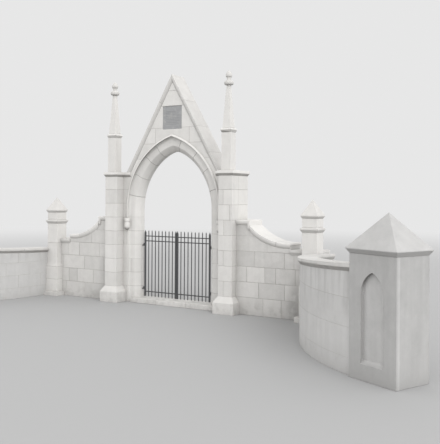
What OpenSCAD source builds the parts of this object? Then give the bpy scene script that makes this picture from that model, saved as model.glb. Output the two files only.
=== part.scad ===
// Churchyard gateway: a gabled stone arch with pinnacled piers and a pair of iron gates,
// between swept wing walls, outer piers and walls that curve forward to end piers.
// Millimetres. X runs along the gateway, Y back through it, Z up from the level ground.

/* [Arch] */
// Clear width between the two jambs
opening = 1836; // [1400:2:2300]
// Height of the bed that the arch ring stands on
springing = 1875; // [1700:5:2250]
// Length of the ring that stays upright before it curves
stilt = 185; // [100:5:250]
// How far each centre of the pointed arch lies past the middle of the opening
arch_centre = 450; // [300:2:700]
// Thickness of the arch wall from front to back
wall_depth = 400; // [360:5:600]
// Width of the chamfer round the opening at the front
chamfer = 95; // [60:1:110]
// Width of the flat face between the chamfer and the hollow
ring_face = 110; // [70:2:150]
// Radius of the hollow that joins this face to the wall
hollow = 45; // [30:1:55]
// Width of the splay round the opening at the back
back_splay = 140; // [60:2:150]
// Width of the hood mould
hood_width = 42; // [30:2:60]
// How far the hood mould stands out from the wall
hood_depth = 34; // [24:2:60]
// Radius of the drop at the foot of the hood
stop_radius = 64; // [50:2:76]
// Length of the drop
stop_height = 280; // [220:5:320]
// Height of the threshold above the ground
threshold_top = 100; // [60:5:130]
// How far the threshold stands out in front
threshold_nose = 60; // [20:5:90]

/* [Gable] */
// Slope of the gable
gable_angle = 60; // [58:1:65]
// Distance from a buttress to the foot of the gable
gable_inset = 110; // [60:5:150]
// Thickness of the edge of the gable coping, square to its slope
gable_edge = 40; // [30:2:60]
// Depth of the splay under that edge
gable_splay = 45; // [30:2:60]
// How far slabs and copings stand out
lip = 30; // [20:1:38]
// Width of the plaque
plaque_width = 490; // [380:5:550]
// Height of the plaque
plaque_height = 495; // [380:5:560]
// Thickness of the plaque
plaque_thick = 20; // [14:1:26]
// Depth of the sinking that holds the plaque
plaque_sink = 30; // [27:1:50]
// Distance from the point of the ring up to the plaque
plaque_rise = 155; // [120:5:180]

/* [Gate piers] */
// Width of each buttress
buttress_width = 320; // [280:5:450]
// How far each buttress stands in front of the arch wall
buttress_depth = 245; // [215:5:350]
// Width of wall between the ring and a buttress
buttress_gap = 134; // [120:2:200]
// Top of the sloping plinth under each buttress
plinth_height = 350; // [260:5:450]
// Height of the slope on the plinth
plinth_slope = 125; // [80:5:180]
// How far the plinth stands out from the buttress
plinth_step = 80; // [40:5:110]
// Height from the springing to the underside of the pier slabs
shoulder_rise = 890; // [800:5:1000]
// Height of the splay under a slab
slab_splay = 50; // [30:5:70]
// Thickness of the edge of a slab
slab = 55; // [40:5:80]

/* [Pinnacles] */
// Side of the square shaft
shaft_side = 210; // [180:5:240]
// Height of the shaft
shaft_height = 762; // [600:2:900]
// Side of the cornice on the shaft
cornice_side = 250; // [246:2:290]
// Height of the splay under the cornice
cornice_splay = 48; // [30:2:60]
// Thickness of the edge of the cornice
cornice_edge = 22; // [14:1:30]
// Height of the slope on top of the cornice
cornice_slope = 18; // [10:1:30]
// Side of the tapering spire at its foot
spire_side = 186; // [150:2:210]
// Side of the spire at its top
spire_tip = 70; // [60:2:84]
// Height of the spire
spire_height = 861; // [700:1:1000]
// Radius of the collar on the spire
collar_radius = 98; // [88:1:115]
// Height of the collar
collar_height = 92; // [80:2:106]
// Length of the neck under the ball
neck_height = 62; // [50:2:90]
// Radius of the ball on the finial
ball = 66; // [54:1:80]

/* [Wing walls] */
// How far the wing wall stands in front of the arch wall
wing_forward = 80; // [20:5:130]
// Top of the level coping beside the gate piers
wing_high = 1878; // [1740:2:2100]
// Length of that level coping
wing_flat = 325; // [250:5:500]
// Width of the kneeler that ends it
kneeler = 55; // [40:5:120]
// How far the sweep starts below the level coping
kneeler_drop = 103; // [60:1:130]
// Thickness of the edge of the coping
wing_coping = 44; // [30:2:60]
// Height of the splay under that edge
wing_splay = 60; // [40:2:70]
// Top of the low coping on the left
low_left = 1445; // [1350:5:1550]
// Top of the low coping on the right
low_right = 1450; // [1350:5:1550]
// Length of the sweep on the left
run_left = 790; // [700:10:900]
// Length of the sweep on the right
run_right = 800; // [700:10:900]
// Length of level coping at the foot of the longer sweep
low_flat = 70; // [40:5:150]
// How far the last length of coping drops
step_drop = 117; // [106:1:150]
// Length of that coping
step_length = 294.5; // [220:0.5:400]

/* [Outer piers] */
// Side of the square outer pier
outer_side = 305; // [260:5:400]
// Distance of the centre of an outer pier in front of the arch wall face
outer_forward = 58; // [20:2:100]
// Height of the square base
base_height = 100; // [60:5:150]
// How far the base stands out
base_step = 67.5; // [40:0.5:100]
// Top of the lower stage
stage_top = 680; // [500:5:850]
// How far the lower stage stands out
stage_step = 40; // [25:1:60]
// Height of the slope on the lower stage
weathering = 83; // [50:1:120]
// Underside of the string course
string_z = 1680; // [1550:2:1800]
// How far the string course stands out
string_lip = 32; // [20:1:40]
// Height of the splay under the string course
string_splay = 52; // [35:1:65]
// Thickness of its edge
string_edge = 25; // [16:1:36]
// Height of the slope on top of it
string_slope = 20; // [12:1:30]
// Height of pier between the string course and the cap
outer_neck = 166; // [120:2:220]
// How far the cap stands out
cap_lip = 25; // [18:1:36]
// Height of the splay under the cap
cap_splay = 42; // [30:1:55]
// Thickness of the edge of the cap
cap_edge = 18; // [10:1:30]
// Height of the pyramid
outer_pyramid = 303; // [240:1:360]

/* [Curved walls] */
// Radius of the face of the curved wall
curve_radius = 3600; // [3000:50:4300]
// Angle the curved wall turns through
curve_angle = 60; // [50:1:70]
// Thickness of the curved wall
curve_wall = 270; // [220:5:400]
// Thickness of its coping
curve_coping = 48; // [36:2:80]
// How far the coping stands out at the front
curve_lip = 40; // [30:1:48]
// Top of the coping beside the left outer pier
start_left = 1105; // [1000:5:1250]
// Top of the coping beside the right outer pier
start_right = 1300; // [1100:5:1380]
// How far below the end pier cap the left coping ends
finish_left = 385; // [250:5:500]
// How far below the end pier cap the right coping ends
finish_right = 145; // [80:5:300]

/* [End piers] */
// Width of the end pier
end_width = 800; // [600:5:1000]
// Depth of the end pier
end_depth = 610; // [450:5:1000]
// How much less than the wall the pier is turned
end_turn = 5; // [0:1:6]
// How far the pier stands out in front of the wall
end_proud = 50; // [48:2:90]
// Top of the pier under its cap
end_top = 1625; // [1500:5:1800]
// How far the cap stands out
end_lip = 40; // [25:1:60]
// Height of the splay under the cap
end_splay = 60; // [40:2:80]
// Thickness of the edge of the cap
end_edge = 10; // [6:1:40]
// Height of the pyramid on the end pier
end_pyramid = 470; // [350:5:600]
// Width of the blind pointed panel
panel_width = 385; // [300:5:450]
// Depth the panel is sunk
panel_depth = 50; // [20:5:80]
// Height of the sill of the panel
panel_sill = 215; // [150:5:300]
// Distance from the top of the pier down to the point where the panel starts to curve
panel_drop = 512; // [400:2:600]
// Height of the pointed part of the panel
panel_rise = 285; // [240:5:330]

/* [Gates] */
// Distance of the gates behind the front of the arch wall
gate_y = 200; // [170:5:230]
// Height of the spike tips
spike_top = 1592; // [1500:2:1800]
// Gap between the threshold and the bars
gate_clear = 25; // [15:1:50]
// Number of bars between the stiles of one leaf
bars = 8; // [5:1:10]
// Side of a square bar
bar = 15; // [12:1:18]
// Side of a square stile
stile = 32; // [26:2:40]
// Height of a rail
rail_height = 20; // [14:1:30]
// Thickness of a rail
rail_thick = 30; // [22:1:31]
// Height of the lowest rail above the foot of the bars
low_rail = 95; // [50:5:150]
// Distance from the spike tips down to the top rail
top_rail = 144; // [110:2:170]
// Distance between the top rail and the one below it
rail_gap = 108; // [70:2:160]
// Length of a spike
spike = 52; // [40:2:64]
// How far a spike swells beyond its bar
spike_swell = 5; // [2:0.5:8]
// Gap between the two closed leaves
meeting_gap = 10; // [6:1:20]
// Height of the lower hook
hook_low = 300; // [260:5:400]
// Height of the upper hook
hook_high = 1262; // [1100:2:1400]
// Side of the square bar the hooks are forged from
hook = 24; // [20:1:28]
// Length of a hook from its pin into the jamb
hook_in = 110; // [90:5:150]
// Radius of a hinge pin
pin = 8; // [6:1:10]
// Distance of the pin from the jamb
pin_gap = 40; // [34:1:50]
// Outer radius of the eye that turns on the pin
eye_radius = 17; // [14:0.5:17]
// Height of the eye
eye_height = 34; // [26:1:44]
// Radial clearance between a pin and its eye
running_fit = 0.05; // [0.02:0.01:0.1]
// Gap between an eye and the hook it turns on
hinge_gap = 1; // [0.5:0.5:3]
// Gap between a hinge stile and the middle of its pin
stile_gap = 20; // [19:1:30]

/* [Hidden] */
$fn = 64;
flat_edge = 8;
half_opening = opening / 2;
ring_width = chamfer + ring_face + hollow + flat_edge;
curve_z = springing + stilt;
r_opening = half_opening + arch_centre;
r_ring = r_opening + ring_width;
ring_apex = curve_z + sqrt(pow(r_ring, 2) - pow(arch_centre, 2));
stop_top = springing - 19;
buttress_inner = half_opening + ring_width + buttress_gap;
buttress_outer = buttress_inner + buttress_width;
buttress_x = buttress_inner + buttress_width / 2;
pier_top = springing + shoulder_rise;
slab_top = pier_top + slab_splay + slab;
gable_foot = buttress_inner - gable_inset;
gable_drop = (gable_edge + gable_splay) / cos(gable_angle);
apex = slab_top + gable_foot * tan(gable_angle);
slab_inner = gable_foot - gable_drop / tan(gable_angle);
plaque_foot = ring_apex + plaque_rise;
shaft_top = slab_top + shaft_height;
spire_foot = shaft_top + cornice_splay + cornice_edge + cornice_slope;
spire_top = spire_foot + spire_height;
wing_face = -wing_forward;
sweep_x = buttress_outer + wing_flat;
sweep_top = wing_high - kneeler_drop;
step_x = sweep_x + max(run_left, run_right) + low_flat;
outer_x = step_x + step_length + outer_side / 2;
wing_end = outer_x + outer_side / 2;
sweep_left = [low_left, run_left];
sweep_right = [low_right, run_right];
stage_side = outer_side + 2 * stage_step;
base_side = stage_side + 2 * base_step;
string_top = string_z + string_splay + string_edge + string_slope;
outer_top = string_top + outer_neck;
tops_left = [start_left, end_top - finish_left];
tops_right = [start_right, end_top - finish_right];
curve_x = wing_end + curve_radius;
curve_y = -outer_forward - outer_side / 2;
bar_foot = threshold_top + gate_clear;
bar_top = spike_top - spike;
rails_z = [bar_foot + low_rail, spike_top - top_rail - rail_gap, spike_top - top_rail];
axis_x = half_opening - pin_gap;
stile_outer = axis_x - stile_gap;
stile_in = stile_outer - stile / 2;
meeting_x = (meeting_gap + stile) / 2;
bar_pitch = (stile_in - meeting_x) / (bars + 1);
hook_z = [hook_low, hook_high];
stone = [0.80, 0.78, 0.73];
coping_stone = [0.86, 0.85, 0.81];
render_grey = [0.66, 0.65, 0.62];
slate = [0.30, 0.31, 0.32];
iron = [0.10, 0.10, 0.11];

// Which piece to draw

// Shared shapes

// Both sides of the gateway
module pair() {
    children();
    mirror([1, 0, 0]) children();
}

// A front view drawn in X and Z, run back from y0 to y1
module run_back(y0, y1) {
    translate([0, y1, 0]) rotate([90, 0, 0]) linear_extrude(y1 - y0) children();
}

// A block whose four sides slope evenly from one rectangle to another, centred on Z
module taper(foot, head, height) {
    intersection() {
        run_back(-max(foot[1], head[1]), max(foot[1], head[1])) slope_view(foot[0], head[0], height);
        rotate([0, 0, 90]) run_back(-max(foot[0], head[0]), max(foot[0], head[0]))
            slope_view(foot[1], head[1], height);
    }
}

// One view of that block; a head of nothing makes a point
module slope_view(foot, head, height) {
    polygon(head > 0 ? [[-foot / 2, 0], [foot / 2, 0], [head / 2, height], [-head / 2, height]]
        : [[-foot / 2, 0], [foot / 2, 0], [0, height]]);
}

// A block centred on Z
module block(width, depth, height) {
    translate([-width / 2, -depth / 2, 0]) cube([width, depth, height]);
}

// A slab centred on Z that stands out from its foot, with a splay under its edge
module oversail(foot, out, splay, edge) {
    head = [foot[0] + 2 * out, foot[1] + 2 * out];
    taper(foot, head, splay);
    translate([0, 0, splay]) block(head[0], head[1], edge);
}

// A two-centred pointed arch above y = 0, standing on legs
module pointed(radius, centre, legs) {
    translate([centre - radius, -legs]) square([2 * (radius - centre), legs]);
    intersection() {
        translate([-centre, 0]) circle(radius, $fn = 180);
        translate([centre, 0]) circle(radius, $fn = 180);
        translate([-radius, 0]) square([2 * radius, radius]);
    }
}

// Turns a profile of radius and depth into the curved part of the right half of the arch
module arch_half() {
    intersection() {
        translate([-arch_centre, 0, curve_z]) rotate([90, 0, 0])
            rotate_extrude(angle = 90, $fn = 180) children();
        translate([0, -wall_depth, curve_z]) cube([2 * half_opening, 3 * wall_depth, 2 * r_ring]);
    }
}

// Gate piers and arch

// Plan of the wall from the moulded edge of the opening out to the right: a chamfer, a flat
// face set back by the hollow, the hollow itself, and a plain splay at the back
module moulded_plan(edge, end) {
    centre = edge + chamfer + ring_face;
    difference() {
        polygon([[edge, wall_depth - back_splay], [edge, hollow + chamfer], [edge + chamfer, hollow],
            [centre, hollow], [centre, 0], [end, 0], [end, wall_depth], [edge + back_splay, wall_depth]]);
        translate([centre, 0]) circle(hollow);
    }
}

module buttress_plan() {
    translate([buttress_inner, -buttress_depth]) square([buttress_width, buttress_depth]);
}

module gate_pier() {
    difference() {
        union() {
            linear_extrude(springing) moulded_plan(half_opening, buttress_outer);
            translate([0, 0, plinth_height]) linear_extrude(pier_top - plinth_height) buttress_plan();
            translate([buttress_inner, -buttress_depth / 2, plinth_height])
                cube([buttress_width, buttress_depth, springing - plinth_height]);
        }
        hook_shanks();
    }
}

module pier_plinth() {
    side = [buttress_width + 2 * plinth_step, 2 * (buttress_depth + plinth_step)];
    top = [buttress_width, 2 * buttress_depth];
    straight = plinth_height - plinth_slope;
    difference() {
        translate([buttress_x, 0, 0]) {
            block(side[0], side[1], straight);
            translate([0, 0, straight]) taper(side, top, plinth_slope);
        }
        translate([0, 0, -1]) cube([2 * buttress_outer, side[1], 2 * plinth_height]);
        translate([buttress_outer, wing_face, -1]) cube([side[0], side[1], 2 * plinth_height]);
    }
}

module ring_half() {
    arch_half() mirror([0, 1]) moulded_plan(r_opening, r_ring);
    translate([0, 0, springing]) linear_extrude(stilt)
        moulded_plan(half_opening, half_opening + ring_width);
}

// The wall above the springing, with a flat shoulder under each slab
module gable_outline() {
    half = [[buttress_outer, springing], [buttress_outer, pier_top], [slab_inner, pier_top],
        [slab_inner, slab_top]];
    polygon(concat(half, [[0, apex - gable_drop]],
        [for (i = [len(half) - 1 : -1 : 0]) [-half[i][0], half[i][1]]]));
}

module gable_wall() {
    difference() {
        run_back(0, wall_depth) difference() {
            gable_outline();
            translate([0, curve_z]) pointed(r_ring, arch_centre, stilt + 1);
        }
        translate([-plaque_width / 2, -plaque_sink, plaque_foot])
            cube([plaque_width, 2 * plaque_sink, plaque_height]);
    }
}

module plaque_plate() {
    translate([-plaque_width / 2, plaque_sink - plaque_thick, plaque_foot])
        cube([plaque_width, plaque_thick, plaque_height]);
}

module hood_section() {
    polygon([[r_ring, 0], [r_ring + hood_width, 0], [r_ring + hood_width, hood_depth / 2],
        [r_ring + hood_width / 2, hood_depth], [r_ring, hood_depth]]);
}

module hood_half() {
    arch_half() hood_section();
    translate([-arch_centre, 0, stop_top]) mirror([0, 1, 0])
        linear_extrude(curve_z - stop_top) hood_section();
}

// A turned drop under the foot of the hood, halved by the wall
module hood_stop() {
    bulb = 0.9 * stop_radius;
    waist = 0.65 * stop_radius;
    difference() {
        translate([half_opening + ring_width + hood_width / 2, 0, stop_top])
            rotate_extrude() intersection() {
                difference() {
                    union() {
                        translate([0, -stop_height / 4]) square([stop_radius, stop_height / 4]);
                        translate([0, bulb - stop_height]) square([0.98 * bulb, stop_height - bulb]);
                        translate([0, bulb - stop_height]) circle(bulb);
                    }
                    translate([bulb + 0.7 * waist, -0.4 * stop_height]) circle(waist);
                }
                translate([0, -stop_height]) square([stop_radius, stop_height]);
            }
        cube([2 * buttress_outer, wall_depth, springing]);
    }
}

// The coping lies on the slope, between the plumb cut at the apex and the slab
module gable_coping() {
    under = gable_edge + gable_splay;
    intersection() {
        translate([0, 0, apex]) rotate([0, gable_angle, 0]) translate([-apex, 0, 0])
            rotate([90, 0, 90]) linear_extrude(2 * apex) polygon([[-lip, 0], [-lip, -gable_edge],
                [0, -under], [wall_depth, -under], [wall_depth + lip, -gable_edge],
                [wall_depth + lip, 0]]);
        translate([0, -2 * lip, slab_top]) cube([2 * gable_foot, wall_depth + 4 * lip, apex]);
    }
}

// One slab covers a buttress and the shoulder behind it
module pier_slab() {
    depth = buttress_depth + wall_depth / 2;
    intersection() {
        translate([0, 0, pier_top]) {
            translate([0, wall_depth / 2, 0])
                oversail([2 * buttress_outer, wall_depth], lip, slab_splay, slab);
            translate([buttress_x, depth / 2 - buttress_depth, 0])
                oversail([buttress_width, depth], lip, slab_splay, slab);
        }
        translate([slab_inner, -2 * depth, 0]) cube([buttress_outer, 4 * depth, 2 * slab_top]);
    }
}

// Pinnacles

module on_buttress(z) {
    translate([buttress_x, -buttress_depth / 2, z]) children();
}

module pinnacle_shaft() {
    on_buttress(slab_top) block(shaft_side, shaft_side, shaft_height);
}

module pinnacle_cornice() {
    side = [cornice_side, cornice_side];
    on_buttress(shaft_top) {
        oversail([shaft_side, shaft_side], (cornice_side - shaft_side) / 2, cornice_splay, cornice_edge);
        translate([0, 0, cornice_splay + cornice_edge])
            taper(side, [spire_side, spire_side], cornice_slope);
    }
}

module pinnacle_spire() {
    on_buttress(spire_foot) taper([spire_side, spire_side], [spire_tip, spire_tip], spire_height);
}

// A rounded collar and a neck, with a ball that ends in a short point
module pinnacle_finial() {
    neck = 0.42 * ball;
    core = spire_tip / 2;
    neck_top = collar_height + neck_height + ball / 2;
    on_buttress(spire_top) {
        rotate_extrude() {
            polygon([[0, 0], [core, 0], [core, collar_height], [neck, collar_height + neck_height / 3],
                [neck, neck_top], [0, neck_top]]);
            intersection() {
                translate([collar_radius - collar_height / 2, collar_height / 2]) circle(collar_height / 2);
                square([2 * collar_radius, 2 * collar_height]);
            }
        }
        translate([0, 0, collar_height + neck_height + 0.9 * ball]) {
            sphere(ball);
            cylinder(r1 = ball, r2 = 0, h = 1.25 * ball);
        }
    }
}

module threshold_stone() {
    half = half_opening + chamfer + ring_face / 2;
    linear_extrude(threshold_top) difference() {
        translate([-half, -threshold_nose]) square([2 * half, wall_depth + threshold_nose]);
        pair() moulded_plan(half_opening, buttress_outer);
    }
}

// Wing walls

// Radius of the sweep, level at its foot
function sweep_radius(sweep) =
    (pow(sweep[1], 2) + pow(sweep_top - sweep[0], 2)) / (2 * (sweep_top - sweep[0]));

// Everything below the coping as far as the step, lowered by drop
module wing_outline(sweep, drop) {
    radius = sweep_radius(sweep);
    translate([buttress_outer, 0]) square([wing_flat, wing_high - drop]);
    translate([sweep_x, 0]) square([step_x - sweep_x, sweep[0] - drop]);
    difference() {
        translate([sweep_x, 0]) square([sweep[1], sweep_top]);
        translate([sweep_x + sweep[1], sweep[0] + radius]) circle(radius + drop, $fn = 240);
    }
}

module wing_wall(sweep) {
    difference() {
        run_back(wing_face, wall_depth) {
            difference() {
                wing_outline(sweep, wing_coping);
                kneeler_view();
            }
            translate([step_x, 0])
                square([wing_end - step_x, sweep[0] - step_drop - wing_coping]);
        }
        outer_pier();
    }
}

// The level coping turns down in a kneeler at the head of the sweep
module kneeler_view() {
    translate([sweep_x - kneeler, sweep_top - wing_coping]) square([kneeler, wing_high]);
}

// The splay under a level length of coping, at the front
module straight_splay(x0, x1, z) {
    translate([x0, wing_face, z]) rotate([90, 0, 90]) linear_extrude(x1 - x0)
        polygon([[0, 0], [-lip, 0], [0, -wing_splay]]);
}

// The splay under the sweep, at the front
module swept_splay(sweep) {
    radius = sweep_radius(sweep);
    under = radius + wing_coping;
    head = 180 + atan((radius + sweep[0] - sweep_top) / sweep[1]);
    intersection() {
        translate([sweep_x + sweep[1], wing_face, sweep[0] + radius]) rotate([90, 0, 0])
            rotate([0, 0, head - 10]) rotate_extrude(angle = 280 - head, $fn = 240)
            polygon([[under, 0], [under, lip], [under + wing_splay, 0]]);
        translate([sweep_x, wing_face - 2 * lip, 0]) cube([sweep[1], 3 * lip, wing_high]);
    }
}

// Repeats at the back what is drawn at the front of the wing wall
module both_faces() {
    children();
    translate([0, wing_face + wall_depth, 0]) mirror([0, 1, 0]) children();
}

module wing_coping(sweep) {
    run_back(wing_face - lip, wall_depth + lip) {
        difference() {
            wing_outline(sweep, 0);
            difference() {
                wing_outline(sweep, wing_coping);
                kneeler_view();
            }
        }
    }
    both_faces() {
        straight_splay(buttress_outer, sweep_x - kneeler, wing_high - wing_coping);
        straight_splay(sweep_x - kneeler, sweep_x, sweep_top - wing_coping);
        swept_splay(sweep);
        straight_splay(sweep_x + sweep[1], step_x, sweep[0] - wing_coping);
    }
}

module step_coping(sweep) {
    under = sweep[0] - step_drop - wing_coping;
    difference() {
        union() {
            translate([step_x, wing_face - lip, under])
                cube([wing_end - step_x, wall_depth - wing_face + 2 * lip, wing_coping]);
            both_faces() straight_splay(step_x, wing_end, under);
        }
        outer_pier();
    }
}

// Outer piers

module on_outer(z) {
    translate([outer_x, -outer_forward, z]) children();
}

module outer_pier() {
    on_outer(0) block(base_side, base_side, base_height);
    on_outer(base_height) block(stage_side, stage_side, stage_top - base_height);
    on_outer(stage_top)
        taper([stage_side, stage_side], [outer_side, outer_side], weathering);
    on_outer(stage_top + weathering)
        block(outer_side, outer_side, string_z - stage_top - weathering);
    on_outer(string_top) block(outer_side, outer_side, outer_neck);
}

module string_course() {
    wide = outer_side + 2 * string_lip;
    on_outer(string_z) {
        oversail([outer_side, outer_side], string_lip, string_splay, string_edge);
        translate([0, 0, string_splay + string_edge])
            taper([wide, wide], [outer_side, outer_side], string_slope);
    }
}

module outer_cap() {
    wide = outer_side + 2 * cap_lip;
    on_outer(outer_top) {
        oversail([outer_side, outer_side], cap_lip, cap_splay, cap_edge);
        translate([0, 0, cap_splay + cap_edge]) taper([wide, wide], [0, 0], outer_pyramid);
    }
}

// Curved walls, with a top that rises evenly towards the end pier

// The wall starts in line with the middle of the outer pier and runs past the end pier's side
module curve_plan(front, back) {
    translate([wing_end, curve_y]) square([curve_wall + back, outer_side / 2]);
    translate([curve_x, curve_y]) difference() {
        intersection() {
            circle(curve_radius + front, $fn = 360);
            rotate(180) square(2 * curve_radius);
            rotate(95 + curve_angle) square(2 * curve_radius);
        }
        circle(curve_radius - curve_wall - back, $fn = 360);
    }
}

// All the space below the sloping line of the coping, lowered by drop
module below_curve(tops, drop) {
    reach = 2 * curve_radius;
    chord = reach * sin(curve_angle / 2);
    translate([wing_end, curve_y, tops[0] - drop]) rotate([0, 0, curve_angle / 2 - 90])
        rotate([0, -atan((tops[1] - tops[0]) / chord), 0])
        translate([-reach, -reach, -reach]) cube([2 * reach, 2 * reach, reach]);
}

// The piers that the curved wall and its coping are cut to
module curve_ends() {
    outer_pier();
    end_place() translate([0, -end_depth, -1]) cube([end_width, 3 * end_depth, end_top]);
}

module curved_wall(tops) {
    difference() {
        intersection() {
            linear_extrude(2 * end_top) curve_plan(0, 0);
            below_curve(tops, curve_coping);
        }
        curve_ends();
    }
}

module curved_coping(tops) {
    difference() {
        intersection() {
            linear_extrude(2 * end_top) curve_plan(curve_lip, lip);
            below_curve(tops, 0);
        }
        below_curve(tops, curve_coping);
        curve_ends();
    }
}

// End piers

// Puts a pier at the end of the curve: X runs on along the wall and Y into it
module end_place() {
    translate([curve_x, curve_y, 0]) rotate([0, 0, curve_angle]) translate([-curve_radius, 0, 0])
        rotate([0, 0, end_turn - 90]) children();
}

module end_pier() {
    end_place() translate([0, -end_proud, 0]) difference() {
        cube([end_width, end_depth, end_top]);
        translate([end_width / 2, 0, end_top - panel_drop]) blind_panel();
    }
}

// A sunk pointed panel with a sloping sill
module blind_panel() {
    half = panel_width / 2;
    centre = (pow(panel_rise, 2) - pow(half, 2)) / (2 * half);
    legs = end_top - panel_drop - panel_sill;
    difference() {
        run_back(-panel_depth, panel_depth) pointed(half + centre, centre, legs);
        translate([-half, 0, -legs]) rotate([45, 0, 0])
            translate([0, 0, -panel_depth]) cube([panel_width, 2 * panel_depth, panel_depth]);
    }
}

module end_cap() {
    wide = [end_width + 2 * end_lip, end_depth + 2 * end_lip];
    end_place() translate([end_width / 2, end_depth / 2 - end_proud, end_top]) {
        oversail([end_width, end_depth], end_lip, end_splay, end_edge);
        translate([0, 0, end_splay + end_edge]) taper(wide, [0, 0], end_pyramid);
    }
}

// Gates

// Hooks built into the jambs; each carries a pin for an eye on the gate
module hook_shanks() {
    for (z = hook_z)
        translate([axis_x, gate_y - hook / 2, z - hook]) cube([hook_in, hook, hook]);
}

module hinge_hook() {
    hook_shanks();
    for (z = hook_z) translate([axis_x, gate_y, z]) {
        translate([0, 0, -hook]) cylinder(r = hook / 2, h = hook);
        cylinder(r = pin, h = eye_height + 3 * hinge_gap);
    }
}

// A turned point that swells a little before it narrows
module spike_head(radius, swell) {
    rotate_extrude() polygon([[0, 0], [radius, 0], [radius + swell, spike / 4], [0, spike]]);
}

module gate_stiles() {
    for (x = [stile_in, meeting_x]) translate([x, gate_y, bar_foot]) {
        block(stile, stile, bar_top - bar_foot);
        translate([0, 0, bar_top - bar_foot]) spike_head(stile / 2, 0);
    }
    for (z = hook_z) difference() {
        translate([axis_x, gate_y, z + hinge_gap]) {
            cylinder(r = eye_radius, h = eye_height);
            translate([stile_in - axis_x, -eye_radius / 2, 0])
                cube([axis_x - stile_in, eye_radius, eye_height]);
        }
        translate([axis_x, gate_y, z]) cylinder(r = pin + running_fit, h = 2 * eye_height);
    }
}

module gate_rails() {
    inner = meeting_x + stile / 2;
    for (z = rails_z) difference() {
        translate([inner, gate_y - rail_thick / 2, z])
            cube([stile_in - stile / 2 - inner, rail_thick, rail_height]);
        bar_row(0) block(bar, bar, spike_top);
    }
}

module bar_row(z) {
    for (i = [1 : bars]) translate([meeting_x + i * bar_pitch, gate_y, z]) children();
}

module gate_bars() {
    bar_row(bar_foot) {
        block(bar, bar, bar_top - bar_foot);
        translate([0, 0, bar_top - bar_foot]) spike_head(bar / 2, spike_swell);
    }
}

// The named pieces

module left_gate_pier() color(stone) mirror([1, 0, 0]) gate_pier();
module right_gate_pier() color(stone) gate_pier();
module pier_plinths() color(stone) pair() pier_plinth();
module arch_ring_left() color(stone) mirror([1, 0, 0]) ring_half();
module arch_ring_right() color(stone) ring_half();
module gable_masonry() color(stone) gable_wall();
module hood_mould_left() color(coping_stone) mirror([1, 0, 0]) hood_half();
module hood_mould_right() color(coping_stone) hood_half();
module hood_stops() color(coping_stone) pair() hood_stop();
module gable_coping_left() color(coping_stone) mirror([1, 0, 0]) gable_coping();
module gable_coping_right() color(coping_stone) gable_coping();
module gable_plaque() color(slate) plaque_plate();
module pier_slabs() color(coping_stone) pair() pier_slab();
module pinnacle_shafts() color(stone) pair() pinnacle_shaft();
module pinnacle_cornices() color(coping_stone) pair() pinnacle_cornice();
module pinnacle_spires() color(stone) pair() pinnacle_spire();
module pinnacle_finials() color(coping_stone) pair() pinnacle_finial();
module threshold() color(stone) threshold_stone();
module left_wing_wall() color(stone) mirror([1, 0, 0]) wing_wall(sweep_left);
module right_wing_wall() color(stone) wing_wall(sweep_right);
module left_wing_coping() color(coping_stone) mirror([1, 0, 0]) wing_coping(sweep_left);
module right_wing_coping() color(coping_stone) wing_coping(sweep_right);
module step_copings() color(coping_stone) {
    mirror([1, 0, 0]) step_coping(sweep_left);
    step_coping(sweep_right);
}
module left_outer_pier() color(stone) mirror([1, 0, 0]) outer_pier();
module right_outer_pier() color(stone) outer_pier();
module string_courses() color(coping_stone) pair() string_course();
module outer_pier_caps() color(coping_stone) pair() outer_cap();
module left_curved_wall() color(render_grey) mirror([1, 0, 0]) curved_wall(tops_left);
module right_curved_wall() color(render_grey) curved_wall(tops_right);
module left_curved_coping() color(coping_stone) mirror([1, 0, 0]) curved_coping(tops_left);
module right_curved_coping() color(coping_stone) curved_coping(tops_right);
module left_end_pier() color(render_grey) mirror([1, 0, 0]) end_pier();
module right_end_pier() color(render_grey) end_pier();
module end_pier_caps() color(coping_stone) pair() end_cap();
module hinge_hooks() color(iron) pair() hinge_hook();
module left_gate_stiles() color(iron) mirror([1, 0, 0]) gate_stiles();
module left_gate_rails() color(iron) mirror([1, 0, 0]) gate_rails();
module left_gate_bars() color(iron) mirror([1, 0, 0]) gate_bars();
module right_gate_stiles() color(iron) gate_stiles();
module right_gate_rails() color(iron) gate_rails();
module right_gate_bars() color(iron) gate_bars();

left_gate_pier();
right_gate_pier();
pier_plinths();
arch_ring_left();
arch_ring_right();
gable_masonry();
hood_mould_left();
hood_mould_right();
hood_stops();
gable_coping_left();
gable_coping_right();
gable_plaque();
pier_slabs();
pinnacle_shafts();
pinnacle_cornices();
pinnacle_spires();
pinnacle_finials();
threshold();
left_wing_wall();
right_wing_wall();
left_wing_coping();
right_wing_coping();
step_copings();
left_outer_pier();
right_outer_pier();
string_courses();
outer_pier_caps();
left_curved_wall();
right_curved_wall();
left_curved_coping();
right_curved_coping();
left_end_pier();
right_end_pier();
end_pier_caps();
hinge_hooks();
left_gate_stiles();
left_gate_rails();
left_gate_bars();
right_gate_stiles();
right_gate_rails();
right_gate_bars();
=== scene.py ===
# Looks of a churchyard gateway: a gabled stone arch with pinnacled piers and iron gates,
# between swept wing walls, outer piers and curved walls that end in capped piers.
# Metres. X runs along the gateway, Y back through it, Z up from the level floor.

from math import asin, cos, hypot, pi, radians, sin
from random import Random

import bmesh
import bpy
from mathutils import Matrix, Vector


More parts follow.
